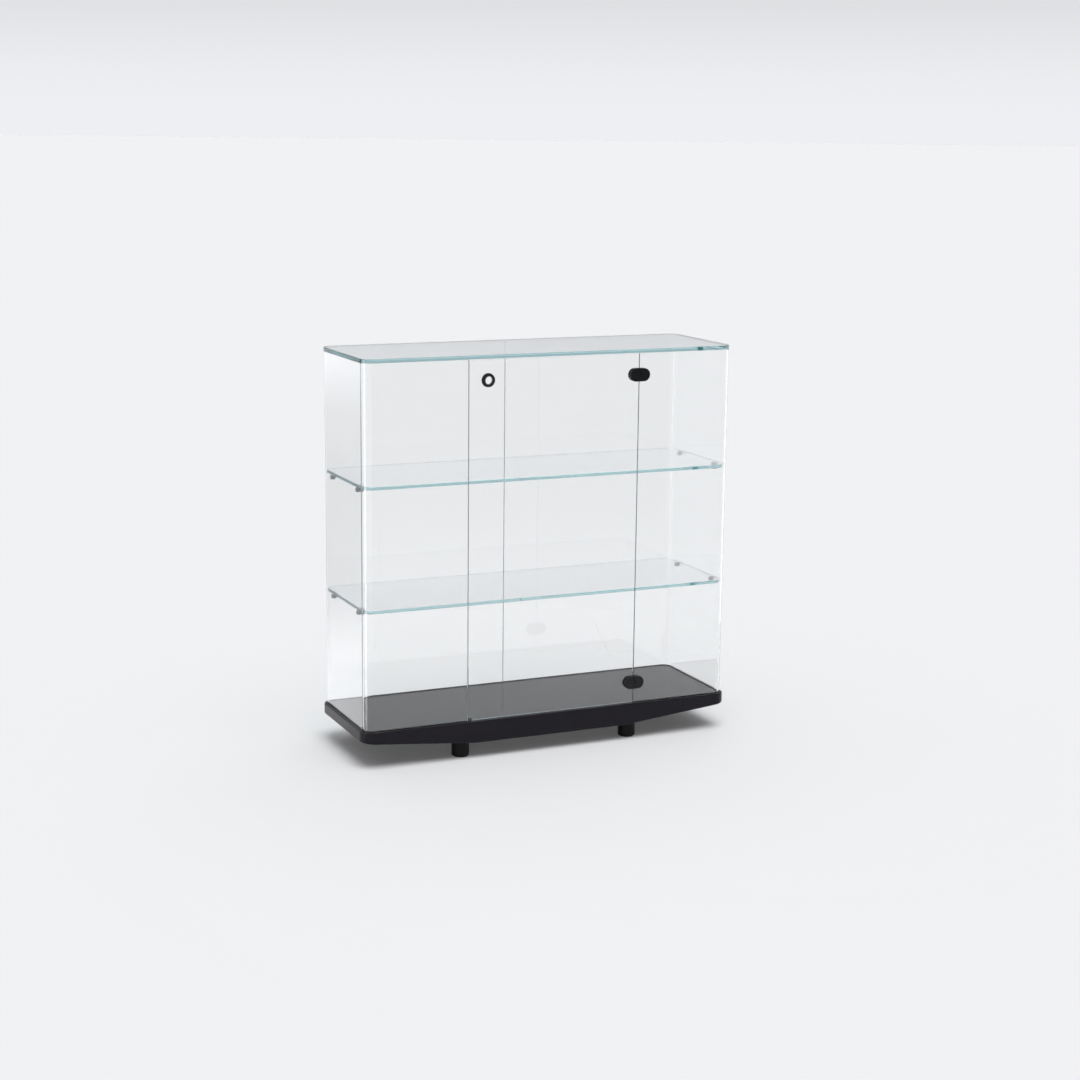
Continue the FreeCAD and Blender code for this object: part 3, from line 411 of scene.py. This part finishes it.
def makeMetal(name):
    look = metals[name]
    material, shader, output = newMaterial(name)
    tree = material.node_tree
    lines = addNoise(tree, look["grain"], 4, look["stretch"])
    addColours(tree, shader, lines, look["colours"])
    addSpread(tree, shader, lines, look["roughness"])
    addBump(tree, shader, lines, cloud["lineBump"], cloud["lineHeight"])
    shader.inputs["Metallic"].default_value = 1
    return material


def makeGlass(name):
    material, shader, output = newMaterial(name)
    tree = material.node_tree
    link = tree.links.new
    shader.inputs["Base Color"].default_value = (1, 1, 1, 1)
    shader.inputs["Roughness"].default_value = 0
    shader.inputs["IOR"].default_value = glassLook["bend"]
    shader.inputs["Transmission Weight"].default_value = 1
    route = addNode(tree, "ShaderNodeLightPath")
    clear = addNode(tree, "ShaderNodeBsdfTransparent", Color=(*glassLook["shadow"], 1))
    mix = addNode(tree, "ShaderNodeMixShader")
    link(route.outputs["Is Shadow Ray"], mix.inputs[0])
    link(shader.outputs[0], mix.inputs[1])
    link(clear.outputs[0], mix.inputs[2])
    link(mix.outputs[0], output.inputs["Surface"])
    absorb = addNode(tree, "ShaderNodeVolumeAbsorption", Color=(*glassLook["tint"], 1),
                     Density=glassLook["depth"])
    link(absorb.outputs[0], output.inputs["Volume"])
    return material


# rule-shaped pieces: the node trees take named sizes, and their result is baked to a plain mesh

def newTree(name, sizes):
    tree = bpy.data.node_groups.new(name, "GeometryNodeTree")
    sockets = tree.interface
    sockets.new_socket("Geometry", in_out="INPUT", socket_type="NodeSocketGeometry")
    for label, kind in sizes.items():
        sockets.new_socket(label, in_out="INPUT", socket_type="NodeSocket" + kind)
    sockets.new_socket("Geometry", in_out="OUTPUT", socket_type="NodeSocketGeometry")
    return tree, addNode(tree, "NodeGroupInput"), addNode(tree, "NodeGroupOutput")


def closeTree(tree, mesh, given, result):
    realize = addNode(tree, "GeometryNodeRealizeInstances")
    paint = addNode(tree, "GeometryNodeSetMaterial")
    tree.links.new(mesh, realize.inputs["Geometry"])
    tree.links.new(realize.outputs["Geometry"], paint.inputs["Geometry"])
    tree.links.new(given.outputs["Material"], paint.inputs["Material"])
    tree.links.new(paint.outputs["Geometry"], result.inputs["Geometry"])


def addTree(source, tree, values):
    modifier = source.modifiers.new(tree.name, "NODES")
    modifier.node_group = tree
    for item in tree.interface.items_tree:
        if item.item_type == "SOCKET" and item.in_out == "INPUT" and item.name in values:
            modifier[item.identifier] = values[item.name]


def addPath(name, points, closed=False):
    curve = bpy.data.curves.new(name, "CURVE")
    curve.dimensions = "3D"
    spline = curve.splines.new("POLY")
    spline.points.add(len(points) - 1)
    spline.use_cyclic_u = closed
    for point, place in zip(spline.points, points):
        point.co = (*place, 1)
    return addObject(name, curve)


def freeze(source, name, matrix=None):
    # the evaluated shape as a plain mesh, with its place in its mesh
    graph = bpy.context.evaluated_depsgraph_get()
    mesh = bpy.data.meshes.new_from_object(source.evaluated_get(graph), depsgraph=graph)
    mesh.name = name
    if matrix is not None:
        mesh.transform(matrix)
    bpy.data.objects.remove(source)
    return mesh


def bake(source, name, matrix=None):
    mesh = freeze(source, name, matrix)
    form = bmesh.new()
    form.from_mesh(mesh)
    bmesh.ops.remove_doubles(form, verts=form.verts, dist=shaping["weld"])
    bmesh.ops.recalc_face_normals(form, faces=form.faces)
    form.to_mesh(mesh)
    form.free()
    for face in mesh.polygons:
        face.use_smooth = True
    mesh.set_sharp_from_angle(angle=math.radians(shaping["sharpAngle"]))
    return addObject(name, mesh)


def finishSolid(source, name, holes, edge, matrix=None):
    # drilled first, then bevelled
    solid = addObject(name + "Solid", freeze(source, name + "Solid", matrix))
    cutter = cutHoles(solid, holes) if holes else None
    bevel = solid.modifiers.new("groundEdge", "BEVEL")
    bevel.width = edge
    bevel.segments = 1
    bevel.limit_method = "ANGLE"
    bevel.angle_limit = math.radians(shaping["bevelAngle"])
    piece = bake(solid, name)
    if cutter:
        bpy.data.objects.remove(cutter)
    return piece


def cutHoles(source, holes):
    # round holes front to back through the wall of the door: x, z, radius
    low, high = boxOf("door_glass")
    lowY, highY = low.y - shaping["drillReach"], high.y + shaping["drillReach"]
    tool = bpy.data.meshes.new("holes")
    form = bmesh.new()
    for x, z, radius in holes:
        place = Matrix.Translation((x, (lowY + highY) / 2, z)) @ Matrix.Rotation(math.pi / 2, 4, "X")
        bmesh.ops.create_cone(form, cap_ends=True, segments=shaping["holeSteps"], radius1=radius,
                              radius2=radius, depth=highY - lowY, matrix=place)
    form.to_mesh(tool)
    form.free()
    cutter = addObject("holes", tool)
    cut = source.modifiers.new("holes", "BOOLEAN")
    cut.object = cutter
    cut.solver = "EXACT"
    return cutter


shaping = {
    "weld": 0.000005,
    "sharpAngle": 30,
    "bevelAngle": 50,
    "drillReach": 0.004,    # past the glass on each side
    "holeSteps": 64,
}


# glass

glass = {
    "wall": 0.006,
    "bend": 0.032,          # outer radius of the bends in the side glass
    "shelfCorner": 0.030,
    "topCorner": 0.033,
    "groundEdge": 0.0007,   # bevel ground on every edge
    "doorCorner": 0.0025,
    "doorGap": 0.002,
    "arcSteps": 20,
    "fingerHole": 0.015,
    "screwHole": 0.005,
}
bead = {                    # dark strip between the deck and the glass: painted shade that stands in for the shaded gap at the deck's edge
    "width": 0.0034,
    "rise": 0.0022,
    "stand": 0.0001,        # above the deck
    "edge": 0.0005,
}


def makeWallTree():
    # a wall that follows a path: the path's corners are bent, then a section is carried along it
    tree, given, result = newTree("bentWall", {
        "Bend": "Float", "Steps": "Int", "Wall": "Float", "Rise": "Float", "Material": "Material"})
    link = tree.links.new
    fillet = addNode(tree, "GeometryNodeFilletCurve", {"mode": "POLY"})
    upright = addNode(tree, "GeometryNodeSetCurveNormal", {"mode": "Z_UP"})
    section = addNode(tree, "GeometryNodeCurvePrimitiveQuadrilateral")
    sweep = addNode(tree, "GeometryNodeCurveToMesh", Fill_Caps=True)
    link(given.outputs["Geometry"], fillet.inputs["Curve"])
    link(given.outputs["Bend"], fillet.inputs["Radius"])
    link(given.outputs["Steps"], fillet.inputs["Count"])
    link(fillet.outputs["Curve"], upright.inputs["Curve"])
    link(upright.outputs["Curve"], sweep.inputs["Curve"])
    link(given.outputs["Wall"], section.inputs["Width"])
    link(given.outputs["Rise"], section.inputs["Height"])
    link(section.outputs["Curve"], sweep.inputs["Profile Curve"])
    closeTree(tree, sweep.outputs["Mesh"], given, result)
    return tree


def makeSheetTree():
    # a flat sheet with round corners, lying at the height of its lower face
    tree, given, result = newTree("roundedSheet", {
        "Width": "Float", "Depth": "Float", "Corner": "Float", "Steps": "Int", "Thickness": "Float",
        "Material": "Material"})
    link = tree.links.new
    outline = addNode(tree, "GeometryNodeCurvePrimitiveQuadrilateral")
    fillet = addNode(tree, "GeometryNodeFilletCurve", {"mode": "POLY"}, Limit_Radius=True)
    fill = addNode(tree, "GeometryNodeFillCurve", {"mode": "NGONS"})
    lift = addNode(tree, "GeometryNodeExtrudeMesh", Individual=False)
    flip = addNode(tree, "GeometryNodeFlipFaces")
    join = addNode(tree, "GeometryNodeJoinGeometry")
    weld = addNode(tree, "GeometryNodeMergeByDistance", Distance=0.00001)
    link(given.outputs["Width"], outline.inputs["Width"])
    link(given.outputs["Depth"], outline.inputs["Height"])
    link(outline.outputs["Curve"], fillet.inputs["Curve"])
    link(given.outputs["Corner"], fillet.inputs["Radius"])
    link(given.outputs["Steps"], fillet.inputs["Count"])
    link(fillet.outputs["Curve"], fill.inputs["Curve"])
    link(fill.outputs["Mesh"], lift.inputs["Mesh"])
    link(given.outputs["Thickness"], lift.inputs["Offset Scale"])
    link(fill.outputs["Mesh"], flip.inputs["Mesh"])
    link(lift.outputs["Mesh"], join.inputs["Geometry"])
    link(flip.outputs["Mesh"], join.inputs["Geometry"])
    link(join.outputs["Geometry"], weld.inputs["Geometry"])
    closeTree(tree, weld.outputs["Geometry"], given, result)
    return tree


def makeWall(name, tree, points, sizes, material, height, holes=(), edge=glass["groundEdge"]):
    source = addPath(name + "Path", [(x, y, height) for x, y in points])
    addTree(source, tree, {"Material": material, "Steps": glass["arcSteps"], **sizes})
    return finishSolid(source, name, holes, edge)


def makeSheet(name, tree, node, corner, material, holes=(), standing=False):
    low, high = boxOf(node)
    size = high - low
    middle = (low + high) / 2
    source = addObject(name + "Seed", bpy.data.meshes.new(name + "Seed"))
    depth, thickness = (size.z, size.y) if standing else (size.y, size.z)
    addTree(source, tree, {"Width": size.x, "Depth": depth, "Corner": corner, "Steps": glass["arcSteps"],
                           "Thickness": thickness, "Material": material})
    if standing:
        matrix = Matrix.Translation((middle.x, high.y, middle.z)) @ Matrix.Rotation(math.pi / 2, 4, "X")
    else:
        matrix = Matrix.Translation((middle.x, middle.y, low.z))
    return finishSolid(source, name, holes, glass["groundEdge"], matrix)


def hingeScrews(side):
    # plate screws on one side of the hinge line: x, z, radius of the hole
    places = []
    for hinge in ("top", "bottom"):
        low, high = boxOf("hinge_%s_%s_screws" % (hinge, side))
        x, reach = (low.x + high.x) / 2, (high.x - low.x) / 2
        places += [(x, z, glass["screwHole"]) for z in (low.z + reach, high.z - reach)]
    return places


def makeSideGlass(material, darkFinish):
    tree = makeWallTree()
    half = glass["wall"] / 2
    inward = half + bead["width"] / 2
    doorLow, doorHigh = boxOf("door_glass")
    for node, side in (("glass_shell_left", -1), ("glass_shell_right", 1)):
        low, high = boxOf(node)
        seam, end = (high.x, low.x + half) if side < 0 else (low.x, high.x - half)
        back, front = high.y - half, low.y + half
        stop = doorHigh.x + glass["doorGap"] if side > 0 else doorLow.x - glass["doorGap"]
        points = [(seam, back), (end, back), (end, front), (stop, front)]
        sizes = {"Bend": glass["bend"] - half, "Wall": glass["wall"], "Rise": high.z - low.z}
        piece = makeWall(node.replace("glass_shell", "bentGlass"), tree, points, sizes, material,
                         (low.z + high.z) / 2, hingeScrews("fixed") if side > 0 else ())
        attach(piece, "case")
        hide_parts(node)
        # a dark strip along the deck's edge inside the glass: painted shade for the shaded gap between
        # deck and glass
        points = [(seam, back - inward), (end - side * inward, back - inward),
                  (end - side * inward, front + inward), (stop, front + inward)]
        sizes = {"Bend": glass["bend"] - half - inward, "Wall": bead["width"], "Rise": bead["rise"]}
        height = boxOf("deck_panel")[1].z + bead["rise"] / 2 + bead["stand"]
        piece = makeWall(node.replace("glass_shell", "deckGapShade"), tree, points, sizes, darkFinish,
                         height, edge=bead["edge"])
        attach(piece, "case")


def makeGlassPieces():
    clearGlass, thickGlass = makeGlass("clearGlass"), makeGlass("thickGlass")
    # the second finish is the painted shade strip along the deck's edge
    makeSideGlass(clearGlass, makePlastic("gapShadeBlack"))
    tree = makeSheetTree()
    for node, name, corner, slot in (("top_glass", "topGlass", "topCorner", "top_glass"),
                                     ("shelf_upper", "upperShelf", "shelfCorner", "shelf_glass"),
                                     ("shelf_lower", "lowerShelf", "shelfCorner", "shelf_glass")):
        piece = makeSheet(name, tree, node, glass[corner], thickGlass)
        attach(piece, "case")
        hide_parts(node)
    pullLow, pullHigh = boxOf("pull_ring_outer")
    pull = (pullLow + pullHigh) / 2
    holes = hingeScrews("door") + [(pull.x, pull.z, glass["fingerHole"])]
    piece = makeSheet("doorGlass", tree, "door_glass", glass["doorCorner"], clearGlass, holes,
                      standing=True)
    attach(piece, "door")
    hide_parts("door_glass")
    print("glass made")


# turned parts: a profile spun round its axis, then repeated in rows

turned = {
    "steps": 48,
    "pullSteps": 96,
    "pin": {"length": 0.014, "neck": 0.003, "neckRadius": 0.0056, "bevel": 0.0005,
            "dimple": 0.0018, "dimpleDepth": 0.0006},
    "ring": {"clearance": 0.0001, "round": 0.0006},
    "screw": {"shank": 0.0025, "headHeight": 0.0026, "socket": 0.0026, "socketDepth": 0.0015,
              "bevel": 0.0004},
    "bolt": {"shank": 0.005, "headRadius": 0.008, "headHeight": 0.010, "socket": 0.0046,
             "socketDepth": 0.005, "bevel": 0.0008},
    "pull": {"bore": 0.0125, "sleeve": 0.0145, "flange": 0.0026, "round": 0.0011,
             "clearance": 0.0001},
    "axle": 0.000002,       # radius of the circle that the profile is carried round
    "weld": 0.000006,       # closes the profile at the axis
}


def spinProfile(tree, given):
    # the given profile curve (radius, along) is spun round the axis
    link = tree.links.new
    path = addNode(tree, "GeometryNodeCurvePrimitiveCircle", Radius=turned["axle"])
    upright = addNode(tree, "GeometryNodeSetCurveNormal", {"mode": "Z_UP"})
    spin = addNode(tree, "GeometryNodeCurveToMesh")
    weld = addNode(tree, "GeometryNodeMergeByDistance", Distance=turned["weld"])
    link(given.outputs["Steps"], path.inputs["Resolution"])
    link(path.outputs["Curve"], upright.inputs["Curve"])
    link(upright.outputs["Curve"], spin.inputs["Curve"])
    link(given.outputs["Geometry"], spin.inputs["Profile Curve"])
    link(spin.outputs["Mesh"], weld.inputs["Geometry"])
    return weld.outputs["Geometry"]


def sinkSocket(tree, given, body):
    # a six-sided socket in the end of the body, where it has one
    link = tree.links.new
    key = addNode(tree, "GeometryNodeMeshCylinder", Vertices=6)
    low = addNode(tree, "ShaderNodeCombineXYZ")
    place = addNode(tree, "GeometryNodeTransform")
    carve = addNode(tree, "GeometryNodeMeshBoolean", {"operation": "DIFFERENCE"})
    either = addNode(tree, "GeometryNodeSwitch", {"input_type": "GEOMETRY"})
    link(given.outputs["Socket"], key.inputs["Radius"])
    link(addMath(tree, "MULTIPLY", given.outputs["Socket Depth"], 2), key.inputs["Depth"])
    link(given.outputs["Socket At"], low.inputs["Z"])
    link(key.outputs["Mesh"], place.inputs["Geometry"])
    link(low.outputs[0], place.inputs["Translation"])
    link(body, carve.inputs["Mesh 1"])
    link(place.outputs["Geometry"], carve.inputs["Mesh 2"])
    link(given.outputs["Has Socket"], either.inputs["Switch"])
    link(body, either.inputs["False"])
    link(carve.outputs["Mesh"], either.inputs["True"])
    return either.outputs["Output"]


def repeatInRows(tree, given, body):
    # laid down, then repeated in columns and rows that may face inwards
    link = tree.links.new
    lay = addNode(tree, "FunctionNodeEulerToRotation")
    laid = addNode(tree, "GeometryNodeTransform")
    grid = addNode(tree, "GeometryNodeMeshGrid")
    where = addNode(tree, "GeometryNodeInputPosition")
    split = addNode(tree, "ShaderNodeSeparateXYZ")
    turn = addNode(tree, "ShaderNodeCombineXYZ")
    turnTo = addNode(tree, "FunctionNodeEulerToRotation")
    copies = addNode(tree, "GeometryNodeInstanceOnPoints")
    link(given.outputs["Lay"], lay.inputs["Euler"])
    link(lay.outputs["Rotation"], laid.inputs["Rotation"])
    link(body, laid.inputs["Geometry"])
    for source, target in (("Across", "Size X"), ("Along", "Size Y"), ("Columns", "Vertices X"),
                           ("Rows", "Vertices Y")):
        link(given.outputs[source], grid.inputs[target])
    link(where.outputs["Position"], split.inputs[0])
    right = addMath(tree, "GREATER_THAN", split.outputs["X"], 0)
    facing = addMath(tree, "MULTIPLY", right, given.outputs["Face Inwards"])
    link(addMath(tree, "MULTIPLY", facing, math.pi), turn.inputs["Z"])
    link(turn.outputs[0], turnTo.inputs["Euler"])
    link(grid.outputs["Mesh"], copies.inputs["Points"])
    link(laid.outputs["Geometry"], copies.inputs["Instance"])
    link(turnTo.outputs["Rotation"], copies.inputs["Rotation"])
    return copies.outputs["Instances"]


def makeTurnedTree():
    tree, given, result = newTree("turnedSet", {
        "Steps": "Int", "Lay": "Vector", "Across": "Float", "Along": "Float", "Columns": "Int",
        "Rows": "Int", "Face Inwards": "Bool", "Socket": "Float", "Socket Depth": "Float",
        "Socket At": "Float", "Has Socket": "Bool", "Material": "Material"})
    body = sinkSocket(tree, given, spinProfile(tree, given))
    closeTree(tree, repeatInRows(tree, given, body), given, result)
    return tree


def makeTurned(name, node, tree, profile, material, closed=False, standing=False, **sizes):
    low, high = boxOf(node)
    source = addPath(name + "Profile", [(radius, along, 0) for radius, along in profile], closed)
    values = {"Steps": turned["steps"], "Columns": 1, "Rows": 1, "Across": 0.0, "Along": 0.0,
              "Lay": (0, 0, 0), "Face_Inwards": False, "Has_Socket": False, "Socket": 0.001,
              "Socket_Depth": 0.001, "Socket_At": 0.0, "Material": material, **sizes}
    addTree(source, tree, {key.replace("_", " "): value for key, value in values.items()})
    matrix = Matrix.Translation((low + high) / 2)
    if standing:
        matrix = matrix @ Matrix.Rotation(math.pi / 2, 4, "X")
    piece = bake(source, name, matrix)
    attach(piece, body_of(frame["nodes"][node])[0])
    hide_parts(node)
    return piece


def bevelledDisc(low, high, radius, bevel):
    return [(radius - bevel, low), (radius, low + bevel), (radius, high - bevel),
            (radius - bevel, high)]


def headedProfile(length, headRadius, kind):
    # a head at the low end, with a shank and a small point
    low, high = -length / 2, length / 2
    seat, bevel, shank = low + kind["headHeight"], kind["bevel"], kind["shank"]
    return [(0, low), (headRadius - bevel, low), (headRadius, low + bevel), (headRadius, seat),
            (shank, seat), (shank, high - bevel), (shank - bevel, high), (0, high)]


def roundCorner(radius, along, size, start, end, steps=6):
    # points on a quarter round
    angles = [math.radians(start + (end - start) * k / steps) for k in range(steps + 1)]
    return [(radius + size * math.cos(a), along + size * math.sin(a)) for a in angles]


def makePins(tree):
    pin, ring = turned["pin"], turned["ring"]
    half, neck, bevel = pin["length"] / 2, pin["neck"] / 2, pin["bevel"]
    metal, darkFinish = makeMetal("pinMetal"), makePlastic("ringRubber")
    for level in ("upper", "lower"):
        low, high = boxOf("shelf_pins_" + level)
        radius = (high.z - low.z) / 2
        bottom = half - pin["dimpleDepth"]
        profile = [(0, -half)] + bevelledDisc(-half, -neck, radius, bevel)
        profile += [(pin["neckRadius"], -neck), (pin["neckRadius"], neck)]
        profile += bevelledDisc(neck, half, radius, bevel)
        profile += [(pin["dimple"] * 1.6, half), (pin["dimple"], bottom), (0, bottom)]
        rows = {"Columns": 2, "Rows": 2, "Across": high.x - low.x - pin["length"],
                "Along": high.y - low.y - 2 * radius, "Face_Inwards": True,
                "Lay": (0, math.pi / 2, 0)}
        piece = makeTurned(level + "Pins", "shelf_pins_" + level, tree, profile, metal, **rows)
        low, high = boxOf("shelf_rings_" + level)
        outer = (high.z - low.z) / 2
        inner = pin["neckRadius"] + ring["clearance"]
        flat = neck - ring["clearance"]
        profile = [(inner, -flat)] + bevelledDisc(-flat, flat, outer, ring["round"])
        profile.append((inner, flat))
        piece = makeTurned(level + "Rings", "shelf_rings_" + level, tree, profile, darkFinish,
                           closed=True, **rows)
    print("shelf pins and rings made")


def makeScrews(tree):
    screw, bolt = turned["screw"], turned["bolt"]
    steel = makeMetal("screwSteel")
    for hinge in ("top", "bottom"):
        for side in ("fixed", "door"):
            node = "hinge_%s_%s_screws" % (hinge, side)
            low, high = boxOf(node)
            radius, length = (high.x - low.x) / 2, high.y - low.y
            piece = makeTurned("screws" + hinge.title() + side.title(), node, tree,
                               headedProfile(length, radius, screw), steel, standing=True,
                               Rows=2, Along=high.z - low.z - 2 * radius, Has_Socket=True,
                               Socket=screw["socket"], Socket_Depth=screw["socketDepth"],
                               Socket_At=-length / 2)
    low, high = boxOf("foot_bolts")
    radius, length = bolt["headRadius"], high.z - low.z
    piece = makeTurned("footBolts", "foot_bolts", tree, headedProfile(length, radius, bolt), steel,
                       Columns=2, Rows=2, Across=high.x - low.x - 2 * radius,
                       Along=high.y - low.y - 2 * radius, Has_Socket=True, Socket=bolt["socket"],
                       Socket_Depth=bolt["socketDepth"], Socket_At=-length / 2)
    print("screws and bolts made")


def makePull(tree):
    pull = turned["pull"]
    steel = makeMetal("pullSteel")
    low, high = boxOf("pull_ring_outer")
    radius, half, soft = (high.x - low.x) / 2, (high.y - low.y) / 2, pull["round"]
    seat = half - pull["flange"]
    profile = [(pull["bore"], -half), (pull["sleeve"], -half), (pull["sleeve"], seat), (radius, seat)]
    profile += roundCorner(radius - soft, half - soft, soft, 0, 90)
    profile += roundCorner(pull["bore"] + soft, half - soft, soft, 90, 180)
    piece = makeTurned("pullRing", "pull_ring_outer", tree, profile, steel, closed=True,
                       standing=True, Steps=turned["pullSteps"])
    low, high = boxOf("pull_ring_inner")
    half = (high.y - low.y) / 2
    inner = pull["sleeve"] + pull["clearance"]
    profile = [(inner, half), (radius, half)]
    profile += [(r, -a) for r, a in roundCorner(radius - soft, half - soft, soft, 0, 90)]
    profile.append((inner, -half))
    piece = makeTurned("pullBackRing", "pull_ring_inner", tree, profile, steel, closed=True,
                       standing=True, Steps=turned["pullSteps"])
    print("finger pull made")


# the parts that are shown as they are

dressed = {
    "baseLacquer": ["base_hull"],
    "deckLacquer": ["deck_panel"],
    "rubberBlack": ["base_gasket_*", "door_stop*", "pull_washers", "hinge_*_pads"],
    "footBlack": ["foot_front_*", "foot_rear_*", "foot_glides"],
    "darkSteel": ["hinge_*_outer", "hinge_*_inner"],
    "brightSteel": ["deck_rail_*", "hinge_*_screws", "hinge_*_pin"],
    "brass": ["foot_inserts"],
    "clearSeal": ["back_seam_seal", "door_edge_seal", "top_bond_*"],
}


def dressFrame():
    count = 0
    for finish, patterns in dressed.items():
        material = makePlastic(finish) if finish in plastics else makeMetal(finish)
        for name, part in frame["nodes"].items():
            if any(fnmatch(name, pattern) for pattern in patterns):
                count += 1
                for slot in part.material_slots:
                    slot.material = material
    print("parts dressed:", count)


# how light is followed through so much glass

light = {"bounces": 64, "clearBounces": 32, "transform": "Standard"}


def setLight():
    scene = bpy.context.scene
    scene.view_settings.view_transform = light["transform"]
    scene.cycles.max_bounces = light["bounces"]
    scene.cycles.transmission_bounces = light["bounces"]
    scene.cycles.glossy_bounces = light["bounces"]
    scene.cycles.transparent_max_bounces = light["clearBounces"]


addCamera()
addSuns(addFloor())
addSky()
print("camera, floor and lights placed")
addBoards()
makeGlassPieces()
turnedTree = makeTurnedTree()
makePins(turnedTree)
makeScrews(turnedTree)
makePull(turnedTree)
dressFrame()
setLight()
